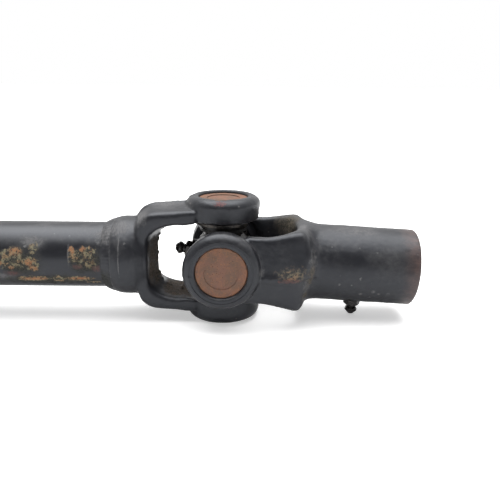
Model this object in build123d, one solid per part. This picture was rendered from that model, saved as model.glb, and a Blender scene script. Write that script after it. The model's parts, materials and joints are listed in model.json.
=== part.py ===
# Propeller shaft of a small four-wheel-drive vehicle: a thin-walled tube with a universal joint
# at each end. The slip end carries a sleeve with an internal spline and a grease nipple, which
# slides on the gearbox shaft. The fixed end carries a short splined hub with a roll pin hole.
#
# Row frame: X along the tube, +X towards the slip end, +Z up, origin on the tube's axis halfway
# between the two ends. The shaft lies on a surface on its lower ears, so both end yokes hang
# down at their joints until the slip end's nipple and the fixed end's hub reach that surface.
#
# Every joint is built in its own frame first: origin at the joint's centre, +X out of the
# shaft, the weld yoke's ears along Z and the end yoke's ears along Y.
import os
from math import asin, atan2, degrees, hypot, pi, radians, tan

from build123d import *

# The shaft as a whole
joint_spacing = 400.0
tube_od = 34.9
tube_wall = 2.5

# The cross and its needle bearings
cup_od = 26.0
cup_set_back = 1.5
cup_base = 2.5
cup_lip = 2.4
cup_recess_radius = 8.6
cup_recess_depth = 0.4
trunnion_dia = 15.0
needle_dia = 2.76
needle_count = 19
roller_clearance = 0.05
thrust_thickness = 1.2
thrust_clearance = 0.1
shoulder_dia = 21.0
hub_half_thickness = 12.5
hub_clearance = 1.2
needle_clearance = 0.2
grease_hole_dia = 3.2
seal_lip = 1.4
seal_flange_radius = 12.4
seal_clearance = 0.15

# The retaining clips
clip_thickness = 1.5
clip_depth = 1.0
clip_reach = 2.2
clip_gap_angle = 70.0

# The forged forks
ear_radius = 19.6
ear_span = 66.0
ear_gap = 40.0
ear_round = 5.0
ear_chamfer = 0.8
window_half = 18.4
window_corner = 11.5
window_draft = 4.0
swing_radius = 22.6
edge_round = 2.0
arm_taper = 4.0
draft_angle = 10.0
flash_width = 3.0
flash_height = 0.5

# The weld yoke
weld_web_inner = 35.2
weld_web_outer = 46.4
weld_arm_width = 31.0
weld_arm_height = 27.4
weld_corner = 12.0
neck_dia = 42.0
neck_small_dia = 39.4
neck_straight_end = 53.0
neck_end = 57.5
spigot_length = 12.0
shoulder_small_dia = 33.0
bead_leg = 5.6

# The end yokes
barrel_dia = 40.8
end_web_inner = 36.0
end_arm_height = 28.0
end_waist_width = 34.0
end_waist_at = 19.0
end_waist_round = 16.0
end_base_height = 21.0
end_base_at = 38.0
end_base_round = 6.0
end_heel_at = 37.5
end_heel_slope = 5.8
end_heel_round = 9.0
heel_room = 0.1
heel_reach = 40.0
end_back_outer = 33.0
end_back_edge = 41.2
end_back_edge_radius = 29.0
end_back_inner = 44.0
end_back_round = 8.0
end_back_room = 3.4
end_corner_at = 70.2
end_parting = -3.0

# The slip sleeve
sleeve_end = 101.8
slip_spline_major = 29.0
slip_spline_minor = 25.6
slip_teeth = 16
slip_pilot_dia = 30.0
slip_pilot_depth = 8.0
plug_dia = 30.6
plug_seat_depth = 3.2
plug_thickness = 1.6
plug_dome = 2.2
slip_nipple_at = 72.3
rim_chamfer = 0.8

# The fixed hub
fixed_hub_end = 66.0
fixed_spline_major = 24.0
fixed_spline_minor = 21.2
fixed_teeth = 14
fixed_pilot_dia = 25.0
fixed_pilot_depth = 6.0
roll_pin_dia = 8.0
roll_pin_at = 54.0

# The grease nipples
nipple_thread_dia = 6.2
nipple_thread_length = 5.6
nipple_hex = 7.94
nipple_hex_height = 3.2
nipple_neck_dia = 4.9
nipple_head_dia = 6.6
nipple_height = 8.3
nipple_tip_dia = 3.0
nipple_bore_dia = 2.6
nipple_tilt = 10.0
nipple_boss_dia = 11.5
nipple_boss_reach = 17.6

# Clearance under the hanging ends
floor_gap = 0.1

# Sizes that follow
tube_radius = tube_od / 2
tube_bore = tube_radius - tube_wall
cup_radius = cup_od / 2
barrel_radius = barrel_dia / 2
ear_inner = ear_gap / 2
ear_face = ear_span / 2
cup_face = ear_face - cup_set_back
cup_mouth = ear_inner - clip_thickness - cup_lip
trunnion_radius = trunnion_dia / 2
needle_radius = needle_dia / 2
pitch_radius = trunnion_radius + roller_clearance + needle_radius
cup_bore = pitch_radius + needle_radius + roller_clearance
cup_floor = cup_face - cup_base
trunnion_end = cup_floor - thrust_thickness - thrust_clearance
shoulder_end = cup_mouth - seal_lip - seal_clearance
hub_radius = shoulder_end - hub_clearance
needle_start = cup_mouth + seal_lip + needle_clearance
needle_end = trunnion_end - needle_clearance
groove_radius = cup_radius - clip_depth
joint_x = joint_spacing / 2


def disc(radius, start, end):
    """A solid cylinder about Z between two heights."""
    return Pos(0, 0, start) * Cylinder(radius, end - start, align=(Align.CENTER, Align.CENTER, Align.MIN))


def turned(points):
    """A solid turned about Z from (radius, height) points."""
    face = make_face(Polyline(*[(r, 0, z) for r, z in points], close=True))
    return revolve(face, Axis.Z)


def along_x(shape):
    """Lays a shape that was made about Z along X."""
    return Rot(0, 90, 0) * shape


def bearing_cup():
    """The cup that is pressed into an ear, mouth inwards, with a shallow recess in its face."""
    cup = turned(
        [
            (0, cup_face),
            (cup_radius - 0.5, cup_face),
            (cup_radius, cup_face - 0.5),
            (cup_radius, cup_mouth + 0.4),
            (cup_radius - 0.4, cup_mouth),
            (cup_bore, cup_mouth),
            (cup_bore, cup_floor),
            (0, cup_floor),
        ]
    )
    cup -= disc(cup_recess_radius, cup_face - cup_recess_depth, cup_face + 1)
    groove_low = ear_inner - clip_thickness
    groove = disc(cup_radius + 1, groove_low, ear_inner) - disc(groove_radius, groove_low - 1, ear_inner + 1)
    return cup - groove


def needle_set():
    """The full complement of loose needles of one cup."""
    needle = Pos(pitch_radius, 0, 0) * disc(needle_radius, needle_start, needle_end)
    return [Rot(0, 0, 360 * i / needle_count) * needle for i in range(needle_count)]


def thrust_washer():
    """The plastic washer between a trunnion's end and its cup."""
    ring = disc(trunnion_radius - 0.2, cup_floor - thrust_thickness, cup_floor)
    return ring - disc(grease_hole_dia / 2 + 0.6, cup_floor - thrust_thickness - 1, cup_floor + 1)


def trunnion_seal():
    """The rubber seal in a cup's mouth, with a flange that covers the rim."""
    flange = disc(seal_flange_radius, cup_mouth - seal_lip, cup_mouth)
    body = flange + disc(cup_bore, cup_mouth, cup_mouth + seal_lip)
    return body - disc(trunnion_radius + roller_clearance, 0, cup_mouth + seal_lip + 1)


def retaining_clip():
    """The open ring in a cup's groove that bears on the ear's inner face."""
    low = ear_inner - clip_thickness
    ring = disc(cup_radius + clip_reach, low, ear_inner) - disc(groove_radius, low - 1, ear_inner + 1)
    half = radians(clip_gap_angle / 2)
    reach = 2 * cup_radius
    mouth = make_face(Polyline((0, 0), (reach, reach * tan(half)), (reach, -reach * tan(half)), close=True))
    ring -= Pos(0, 0, low - 1) * extrude(mouth, clip_thickness + 2)
    return fillet(ring.edges().filter_by(Axis.Z), 0.7)


def cross():
    """The four-armed cross with its drilled grease ways and the boss for its nipple."""
    hub = along_x(disc(hub_radius, -hub_half_thickness, hub_half_thickness))
    hub = chamfer(hub.edges().filter_by(GeomType.CIRCLE), 3.0)
    arm = turned(
        [
            (0, 0),
            (shoulder_dia / 2, 0),
            (shoulder_dia / 2, shoulder_end - 1.0),
            (shoulder_dia / 2 - 1.0, shoulder_end),
            (trunnion_radius, shoulder_end),
            (trunnion_radius, trunnion_end - 0.8),
            (trunnion_radius - 0.8, trunnion_end),
            (0, trunnion_end),
        ]
    )
    body = hub
    for turn in (0, 90, 180, 270):
        body += Rot(turn, 0, 0) * arm
    boss = turned([(0, 0), (nipple_boss_dia / 2 + 1.5, 0), (nipple_boss_dia / 2, nipple_boss_reach), (0, nipple_boss_reach)])
    body += nipple_on_cross() * boss
    for turn in (0, 90):
        body -= Rot(turn, 0, 0) * disc(grease_hole_dia / 2, -trunnion_end - 1, trunnion_end + 1)
    feed = disc(grease_hole_dia / 2, 0, nipple_boss_reach + 1)
    feed += disc(nipple_thread_dia / 2, nipple_boss_reach - nipple_thread_length, nipple_boss_reach + 1)
    return body - nipple_on_cross() * feed


def nipple_on_cross():
    """Turns +Z to the way that the cross's nipple points, back towards the tube and a little up."""
    return Rot(0, -90 + nipple_tilt, 0)


def grease_nipple():
    """A grease nipple standing on Z = 0, thread down, with its grease way and ball seat."""
    thread = disc(nipple_thread_dia / 2, -nipple_thread_length, 0)
    hexagon = extrude(RegularPolygon(nipple_hex / 2, 6, major_radius=False), nipple_hex_height)
    hexagon &= turned(
        [
            (0, 0),
            (nipple_hex / 2 * 1.16, 0),
            (nipple_hex / 2 * 1.16, nipple_hex_height - 0.9),
            (nipple_hex / 2 * 0.86, nipple_hex_height),
            (0, nipple_hex_height),
        ]
    )
    head_radius = nipple_head_dia / 2
    head = turned(
        [
            (0, nipple_hex_height - 0.5),
            (nipple_neck_dia / 2, nipple_hex_height - 0.5),
            (nipple_neck_dia / 2, nipple_hex_height + 0.9),
            (head_radius - 0.25, nipple_hex_height + 1.7),
            (head_radius, nipple_hex_height + 2.3),
            (head_radius, nipple_hex_height + 3.2),
            (nipple_tip_dia / 2, nipple_height),
            (0, nipple_height),
        ]
    )
    way = disc(nipple_bore_dia / 2, -nipple_thread_length - 1, nipple_height - 1.6)
    way += turned(
        [
            (0, nipple_height - 1.7),
            (nipple_bore_dia / 2, nipple_height - 1.7),
            (nipple_bore_dia / 2, nipple_height - 1.6),
            (0.7, nipple_height - 0.6),
            (0.7, nipple_height + 1),
            (0, nipple_height + 1),
        ]
    )
    return thread + hexagon + head - way


def ear_pair():
    """The two round bosses of a fork, ears along Z."""
    boss = disc(ear_radius, ear_inner, ear_face)
    boss = fillet(boss.edges().sort_by(Axis.Z)[-1], ear_round)
    boss = fillet(boss.edges().sort_by(Axis.Z)[0], 1.2)
    return boss + Rot(180, 0, 0) * boss


def ear_bores():
    """What the cups' seats remove from a fork, ears along Z, with a lead-in at each outer face."""
    bore = disc(cup_radius, 0, ear_face + 1)
    mouth = turned(
        [
            (0, ear_face - ear_chamfer),
            (cup_radius, ear_face - ear_chamfer),
            (cup_radius + ear_chamfer + 1, ear_face + 1),
            (0, ear_face + 1),
        ]
    )
    side = bore + mouth
    return side + Rot(180, 0, 0) * side


def drafted(face, draft, parting):
    """A face of the XZ plane pulled both ways from the parting plane, smaller outwards by its draft."""
    half = extrude(Plane.XZ * face, 1.4 * ear_radius, taper=draft)
    return Pos(0, parting, 0) * (half + mirror(half, Plane.XZ))


def swing_room():
    """The space between a fork's ears that is faced flat and lets the other fork's ears swing through."""
    return disc(swing_radius, -ear_inner, ear_inner)


def fork_prism(web_inner, side, outline, parting):
    """The drafted arms and web of a fork, ears along Z and web towards -X, parted along Y = parting."""
    length = web_inner + ear_radius
    window = Pos(length / 2 - web_inner, 0) * Rectangle(length, 2 * window_half)
    window = fillet(window.vertices().group_by(Axis.X)[0], window_corner)
    flash = Pos(0, parting, 0) * extrude(Plane.XZ * offset(side, flash_height), flash_width / 2, both=True)
    outer = drafted(side, draft_angle, parting) + (flash - Pos(ear_radius, 0, 0) * Box(2 * ear_radius, 200, 200))
    return (outer - drafted(window, -window_draft, parting)) & extrude(Plane.XY * outline, 2 * ear_radius, both=True)


def arm_sides(web_height, web_at, reach):
    """The corners of a fork's side view from its joint back to a reach, its arms tapering as they go."""
    slope = tan(radians(arm_taper))
    half = [(0, web_height + web_at * slope), (-reach, web_height + (web_at - reach) * slope)]
    return half + [(x, -z) for x, z in reversed(half)]


def rounded_fork(prism, half_width, web_outer):
    """Rounds the long edges of a fork's arms and web, apart from those that its ears cover."""
    edges = []
    for edge in prism.edges():
        points = [edge @ share for share in (0, 0.5, 1)]
        on_side = min(abs(point.Y) for point in points) > half_width - 0.1
        on_fork = -web_outer < min(point.X for point in points) and points[1].X < -0.1
        if on_side and on_fork and abs((edge % 0.5).Z) < 0.999:
            edges.append(edge)
    return fillet(edges, edge_round)


def weld_yoke():
    """The fork that is welded to the tube, its ears along Z and its neck towards -X."""
    side = make_face(Polyline(*arm_sides(weld_arm_height, weld_web_outer, weld_web_outer), close=True))
    side = fillet(side.vertices().group_by(Axis.X)[0], weld_corner)
    outline = Pos(-weld_web_outer, 0) * Rectangle(2 * weld_web_outer, weld_arm_width)
    fork = fork_prism(weld_web_inner, side, outline, 0)
    fork = rounded_fork(fork, weld_arm_width / 2, weld_web_outer + 1)
    neck = turned(
        [
            (0, weld_web_inner),
            (shoulder_small_dia / 2, weld_web_inner),
            (neck_dia / 2, weld_web_outer),
            (neck_dia / 2, neck_straight_end),
            (neck_small_dia / 2, neck_end),
            (tube_bore, neck_end),
            (tube_bore, neck_end + spigot_length - 1.5),
            (tube_bore - 1.0, neck_end + spigot_length),
            (0, neck_end + spigot_length),
        ]
    )
    return fork + ear_pair() + Rot(0, -90, 0) * neck - ear_bores() - swing_room()


def weld_bead():
    """The bead in the corner between the tube's end and the weld yoke's neck."""
    rise = neck_small_dia / 2 - tube_radius
    middle = (tube_radius + 0.62 * rise, neck_end + 0.5 * bead_leg)
    start, end = (neck_small_dia / 2, 0, neck_end), (tube_radius, 0, neck_end + bead_leg)
    crown = ThreePointArc(start, (middle[0] + 0.3, 0, middle[1]), end)
    corner = Polyline(end, (tube_radius, 0, neck_end), start)
    return Rot(0, -90, 0) * revolve(make_face(crown + corner), Axis.Z)


def heel_limit(barrel_end):
    """What an end yoke keeps within at its heels and its back's corners, with room for its barrel."""
    slope = tan(radians(arm_taper))
    front, top = -ear_radius - 1, end_arm_height + flash_height + heel_room
    back = barrel_radius + end_back_room
    half = [
        (heel_reach, heel_reach),
        (front, heel_reach),
        (front, top + (end_heel_at + front) * slope),
        (-end_heel_at, top),
        (-end_heel_at - end_heel_slope, back),
        (-barrel_end - 1, back),
    ]
    side = make_face(Polyline(*half, *[(x, -z) for x, z in reversed(half)], close=True))
    heels = side.vertices().filter_by_position(Axis.X, -end_heel_at - 0.1, -end_heel_at + 0.1)
    heel = extrude(Plane.XZ * fillet(heels, end_heel_round), heel_reach, both=True)
    room = barrel_radius + 1
    corners = turned(
        [
            (0, -ear_radius),
            (heel_reach, -ear_radius),
            (heel_reach, end_corner_at - heel_reach),
            (room, end_corner_at - room),
            (room, barrel_end + 1),
            (0, barrel_end + 1),
        ]
    )
    return heel & Rot(0, -90, 0) * corners


def end_forging(barrel_end):
    """An end yoke before it is bored: ears along Y, a belled back and a round barrel towards +X."""
    reach, half_waist = 2 * ear_radius, end_waist_width / 2
    past_end = barrel_end + reach
    plan = [(0, half_waist), (-end_waist_at, half_waist)]
    plan += [(-end_base_at, end_base_height), (-past_end, end_base_height)]
    outline = make_face(Polyline(*plan, *[(x, -y) for x, y in reversed(plan)], close=True))
    for place, radius in ((end_waist_at, end_waist_round), (end_base_at, end_base_round)):
        outline = fillet(outline.vertices().filter_by_position(Axis.X, -place - 0.1, -place + 0.1), radius)
    side = make_face(Polyline(*arm_sides(end_arm_height, end_heel_at, past_end), close=True))
    prism = fork_prism(end_web_inner, side, outline, end_parting)
    bell = [
        (0, -ear_radius),
        (reach, -ear_radius),
        (reach, end_back_outer),
        (end_back_edge_radius, end_back_edge),
        (barrel_radius, end_back_inner),
        (barrel_radius, barrel_end - rim_chamfer),
        (barrel_radius - rim_chamfer, barrel_end),
        (0, barrel_end),
    ]
    profile = make_face(Polyline(*[(r, 0, x) for r, x in bell], close=True))
    throat = profile.vertices().filter_by_position(Axis.Z, end_back_edge - 0.1, end_back_inner + 0.1)
    back = Rot(0, -90, 0) * revolve(fillet(throat, end_back_round), Axis.Z)
    fork = rounded_fork(prism & back, half_waist, end_back_inner + end_back_round)
    fork &= heel_limit(barrel_end)
    return Rot(0, 0, 180) * Rot(90, 0, 0) * (fork + ear_pair() - ear_bores() - swing_room())


def splined_bore(minor, major, teeth, start, end):
    """What a splined bore about X removes: its minor bore and one groove for each tooth of its shaft."""
    bore = disc(minor / 2, start, end)
    width = pi * (minor + major) / 4 / teeth
    groove = Pos(major / 4, 0, (start + end) / 2) * Box(major / 2, width, end - start)
    cuts = bore + [Rot(0, 0, 360 * i / teeth) * groove for i in range(teeth)]
    return along_x(cuts & disc(major / 2, start, end))


def slip_yoke():
    """The fork and the splined sleeve of the slip end in one forging."""
    seat_end = end_web_inner + plug_seat_depth
    body = end_forging(sleeve_end) - along_x(disc(plug_dia / 2, end_web_inner - 1, seat_end))
    body -= splined_bore(slip_spline_minor, slip_spline_major, slip_teeth, seat_end, sleeve_end)
    body -= along_x(disc(slip_pilot_dia / 2, sleeve_end - slip_pilot_depth, sleeve_end + 1))
    return body - slip_nipple_place() * disc(nipple_thread_dia / 2, -barrel_radius, 1)


def slip_nipple_place():
    """Where the slip sleeve's nipple stands, straight down on the sleeve."""
    return Pos(slip_nipple_at, 0, -barrel_radius) * Rot(180, 0, 0)


def slip_plug():
    """The domed expansion plug that closes the slip sleeve towards its fork."""
    edge = plug_dia / 2
    seat = end_web_inner + plug_seat_depth
    dome_radius = (edge**2 + plug_dome**2) / (2 * plug_dome)
    outer = Pos(0, 0, seat - plug_thickness - plug_dome + dome_radius) * Sphere(dome_radius)
    inner = Pos(0, 0, seat - plug_dome + dome_radius) * Sphere(dome_radius)
    shell = (outer - inner) & disc(edge, seat - plug_thickness - plug_dome - 1, seat)
    return along_x(shell)


def fixed_yoke():
    """The fork and the short splined hub of the fixed end in one forging, cross-drilled for its roll pin."""
    body = end_forging(fixed_hub_end)
    body -= splined_bore(fixed_spline_minor, fixed_spline_major, fixed_teeth, end_web_inner - 1, fixed_hub_end)
    body -= along_x(disc(fixed_pilot_dia / 2, fixed_hub_end - fixed_pilot_depth, fixed_hub_end + 1))
    return body - Pos(roll_pin_at, 0, 0) * Rot(90, 0, 0) * disc(roll_pin_dia / 2, -barrel_dia, barrel_dia)


def shaft_tube():
    """The tube between the two weld yokes, in the row frame before it is shifted."""
    half = joint_x - neck_end
    return along_x(disc(tube_radius, -half, half) - disc(tube_bore, -half - 1, half + 1))


def hang_angle(reach, drop):
    """How far an end yoke hangs, in degrees, when the point at (reach, -drop) meets the surface."""
    return degrees(asin((ear_face - floor_gap) / hypot(reach, drop)) - atan2(drop, reach))


slip_hang = hang_angle(slip_nipple_at + nipple_tip_dia / 2, barrel_radius + nipple_height)
fixed_hang = hang_angle(fixed_hub_end - rim_chamfer, barrel_radius)

# The four ways out of a joint's centre that its cups face
upper, lower = Rot(0, 0, 0), Rot(180, 0, 0) * Rot(0, 0, 180)
near, far = Rot(90, 0, 0) * Rot(0, 0, 180), Rot(-90, 0, 0) * Rot(0, 0, 180)


def bearing_nodes(end, ways, place):
    """The bearing pieces of one yoke as named nodes, one cup for each way."""
    nodes = {}
    for name, way in ways.items():
        spot = place * way
        nodes[f"{end}_{name}_cup"] = spot * bearing_cup()
        nodes[f"{end}_{name}_seal"] = spot * trunnion_seal()
        nodes[f"{end}_{name}_clip"] = spot * retaining_clip()
        nodes[f"{end}_{name}_thrust_washer"] = spot * thrust_washer()
    needles = [place * way * needle for way in ways.values() for needle in needle_set()]
    nodes[f"{end}_{'_'.join(ways)}_needles"] = Compound(needles)
    return nodes


def joint_nodes(end, place, hang, yoke):
    """Every piece of one universal joint, placed in the row."""
    hung = place * Rot(0, hang, 0)
    nodes = {
        f"{end}_weld_yoke": place * weld_yoke(),
        f"{end}_weld_bead": place * weld_bead(),
        f"{end}_cross": place * cross(),
        f"{end}_cross_nipple": place * nipple_on_cross() * Pos(0, 0, nipple_boss_reach) * grease_nipple(),
        f"{end}_yoke": hung * yoke,
    }
    nodes.update(bearing_nodes(end, {"upper": upper, "lower": lower}, place))
    nodes.update(bearing_nodes(end, {"near": near, "far": far}, hung))
    return nodes


def all_nodes():
    """Every node of the shaft, with the origin still midway between the joints."""
    slip_place = Pos(joint_x, 0, 0)
    fixed_place = Pos(-joint_x, 0, 0) * Rot(0, 0, 180)
    nodes = {"shaft_tube": shaft_tube()}
    nodes.update(joint_nodes("slip", slip_place, slip_hang, slip_yoke()))
    nodes.update(joint_nodes("fixed", fixed_place, fixed_hang, fixed_yoke()))
    slip_hung = slip_place * Rot(0, slip_hang, 0)
    nodes["slip_yoke_plug"] = slip_hung * slip_plug()
    nodes["slip_yoke_nipple"] = slip_hung * slip_nipple_place() * grease_nipple()
    return nodes


def main():
    """Centres the shaft on its length and writes one file for each node."""
    nodes = all_nodes()
    ends = [nodes[name].bounding_box() for name in ("slip_yoke", "fixed_yoke")]
    middle = (max(box.max.X for box in ends) + min(box.min.X for box in ends)) / 2
    os.makedirs("parts", exist_ok=True)
    for name, shape in nodes.items():
        export_step(Pos(-middle, 0, 0) * shape, f"parts/{name}.step")
    print("slip yoke hangs", round(slip_hang, 3), "fixed yoke hangs", round(fixed_hang, 3))
    print("slip joint at x", round(joint_x - middle, 3), "fixed joint at x", round(-joint_x - middle, 3))


main()
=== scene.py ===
"""Dresses a worn drive shaft: forged yokes, tube, weld beads, bearings, finishes, light and camera."""

import json
import logging
import math
from dataclasses import dataclass, field
from enum import Enum

import bmesh
import bpy
import numpy as np
from bpy.types import Material, Mesh, NodeSocket, NodeTree, Object, bpy_prop_collection
from mathutils import Matrix, Vector, noise


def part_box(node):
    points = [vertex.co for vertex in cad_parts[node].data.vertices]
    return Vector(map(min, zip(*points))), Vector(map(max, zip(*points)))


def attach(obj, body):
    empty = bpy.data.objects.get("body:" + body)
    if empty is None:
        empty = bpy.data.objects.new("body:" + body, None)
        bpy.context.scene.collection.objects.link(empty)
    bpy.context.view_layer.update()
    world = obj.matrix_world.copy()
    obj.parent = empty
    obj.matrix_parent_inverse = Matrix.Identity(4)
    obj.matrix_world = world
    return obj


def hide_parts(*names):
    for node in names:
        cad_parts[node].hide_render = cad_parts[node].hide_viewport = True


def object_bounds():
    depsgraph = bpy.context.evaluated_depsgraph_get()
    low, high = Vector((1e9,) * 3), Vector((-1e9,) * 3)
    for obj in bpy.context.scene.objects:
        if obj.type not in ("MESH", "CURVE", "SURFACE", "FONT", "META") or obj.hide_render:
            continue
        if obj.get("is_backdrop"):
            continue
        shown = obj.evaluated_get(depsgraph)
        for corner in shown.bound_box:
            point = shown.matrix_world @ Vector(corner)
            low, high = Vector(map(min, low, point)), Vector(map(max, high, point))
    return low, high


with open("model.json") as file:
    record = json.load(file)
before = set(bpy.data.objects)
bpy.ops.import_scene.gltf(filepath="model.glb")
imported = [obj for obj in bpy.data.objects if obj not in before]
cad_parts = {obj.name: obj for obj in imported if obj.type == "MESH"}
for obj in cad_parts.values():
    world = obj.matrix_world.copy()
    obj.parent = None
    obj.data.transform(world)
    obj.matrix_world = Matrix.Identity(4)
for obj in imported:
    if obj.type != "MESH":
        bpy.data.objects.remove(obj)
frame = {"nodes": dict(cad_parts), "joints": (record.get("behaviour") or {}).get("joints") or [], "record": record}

log = logging.getLogger("drive_shaft")

MM = 0.001
Pair = tuple[float, float]
Triple = tuple[float, float, float]
Ramp = tuple[float, float, float, float]
Value = NodeSocket | float | Triple

# Colours and roughnesses that several finishes share
CHIPPED = (0.20, 0.195, 0.19)
SCRATCHED = (0.008, 0.008, 0.01)
# SHADED is painted shade, laid on the ledge ring round each cup
SHADED = (0.008, 0.009, 0.012)
BARE_DARK = (0.036, 0.023, 0.021)
BARE_LIGHT = (0.105, 0.066, 0.058)
PITTED = (0.035, 0.022, 0.016)
# COOL_LIGHT_TINT is a cool tint on the paint's reflections: partly the paint's own sheen, partly painted light for
# the bluish cast of the lamps
COOL_LIGHT_TINT = (0.90, 0.935, 1.0)
DAMP_SOIL = (0.036, 0.035, 0.028)
DUSTY, BLOOMED, RUSTY = 0.72, 0.8, 0.95

# Dust streaks that run round the shaft: the grain is finer along it
DRAWN_ROUND = (2.6, 0.6, 0.6)

# The turned ledge round each cup, as radii in millimetres between which it comes and goes; the ring between its inner
# and outer radii is darkened with painted shade
LEDGE_INNER, LEDGE_OUTER, LEDGE_STEP = (13.6, 13.9), (15.7, 15.2), (15.3, 15.9)
LEDGE_DEPTH = 0.45

# Where stray rust starts and is full, in millimetres from the slip joint
STRAY_FROM = (128.0, 142.0)


class Sum(Enum):
    """The sums that the finishes use on single values."""

    ADD = "ADD"
    TAKE = "SUBTRACT"
    TIMES = "MULTIPLY"
    HIGHER = "MAXIMUM"
    LOWER = "MINIMUM"


class End(Enum):
    """The two ends of the shaft, named as the frame's nodes name them."""

    SLIP = "slip"
    FIXED = "fixed"


class Axis(Enum):
    """The two ways that a joint's ears are set, as directions of the row frame."""

    SIDEWAYS = (0, 1, 0)
    UPWARD = (0, 0, 1)


def joint_centre(end: End) -> Vector:
    """Finds the point that both axes of one end's universal joint pass through, in metres."""
    for joint in frame["joints"]:
        if joint["name"] == f"{end.value}_cross_swing":
            return Vector(joint["pos_m"])
    raise LookupError(end.value)


def yoke_direction(end: End) -> Vector:
    """Finds the unit vector from one end's joint along its yoke's barrel, as it hangs."""
    for mount in frame["record"]["mounts"]:
        if mount["name"] == f"{end.value}_pilot_bore":
            return Vector(mount["axis"]).normalized()
    raise LookupError(end.value)


@dataclass(frozen=True)
class Spot:
    """A place on the shaft where a finish changes, as an ellipsoid.

    Attributes:
        centre: Its centre in millimetres, from the slip joint's centre.
        reach: How far it reaches along X, Y and Z, in millimetres.
        ragged: How much noise breaks up its edge, from 0 for a plain edge.
        grain: The size of that noise's lumps in millimetres.
        soft: The share of its reach over which it fades out.
    """

    centre: Triple
    reach: Triple
    ragged: float = 1.0
    grain: float = 2.5
    soft: float = 0.25


Spots = tuple[Spot, ...]


class Wiring:
    """A tree of nodes, with short methods for adding to it."""

    def __init__(self, tree: NodeTree) -> None:
        """Takes up a tree."""
        self.nodes, self.links = tree.nodes, tree.links

    def put(self, value: Value, socket: NodeSocket) -> None:
        """Feeds an input with another node's output, or with a plain number or colour."""
        if isinstance(value, NodeSocket):
            self.links.new(value, socket)
        elif isinstance(value, tuple) and len(socket.default_value) == 4:
            socket.default_value = (*value, 1.0)
        else:
            socket.default_value = value

    def add(self, kind: str, feeds: dict[str | int, Value], **settings: str) -> bpy_prop_collection:
        """Adds a node.

        Args:
            kind: The node's type.
            feeds: What its inputs are fed with, by their names or numbers.
            **settings: The node's own settings.

        Returns:
            Its outputs.
        """
        node = self.nodes.new(kind)
        for name, setting in settings.items():
            setattr(node, name, setting)
        for socket, value in feeds.items():
            self.put(value, node.inputs[socket])
        return node.outputs

    def sums(self, kind: Sum, first: Value, second: Value) -> NodeSocket:
        """Works out one sum on two values."""
        return self.add("ShaderNodeMath", {0: first, 1: second}, operation=kind.value)[0]

    def times(self, first: Value, *others: Value) -> Value:
        """Multiplies values."""
        for other in others:
            first = self.sums(Sum.TIMES, first, other)
        return first

    def plus(self, first: Value, *others: Value) -> Value:
        """Adds up values."""
        for other in others:
            first = self.sums(Sum.ADD, first, other)
        return first

    def highest(self, first: Value, *others: Value) -> Value:
        """Picks the highest of several values."""
        for other in others:
            first = self.sums(Sum.HIGHER, first, other)
        return first

    def level(self, share: Value, under: Value, over: Value) -> NodeSocket:
        """Moves a value from one level to another by a share."""
        return self.add("ShaderNodeMix", {0: share, 2: under, 3: over})[0]

    def ramp(self, value: Value, low: float, high: float, start: float, end: float) -> NodeSocket:
        """Turns a value into a soft ramp.

        Args:
            value: The value to read.
            low: Where the ramp starts.
            high: Where it ends.
            start: Its value below low.
            end: Its value above high.

        Returns:
            The ramp.
        """
        feeds = {"Value": value, "From Min": low, "From Max": high, "To Min": start, "To Max": end}
        return self.add("ShaderNodeMapRange", feeds, interpolation_type="SMOOTHSTEP")["Result"]

    def step(self, value: Value, low: float, high: float) -> NodeSocket:
        """Turns a value into a soft step from 0 at low to 1 at high, which may lie below low."""
        if high < low:
            return self.ramp(value, high, low, 1.0, 0.0)
        return self.ramp(value, low, high, 0.0, 1.0)


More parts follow.
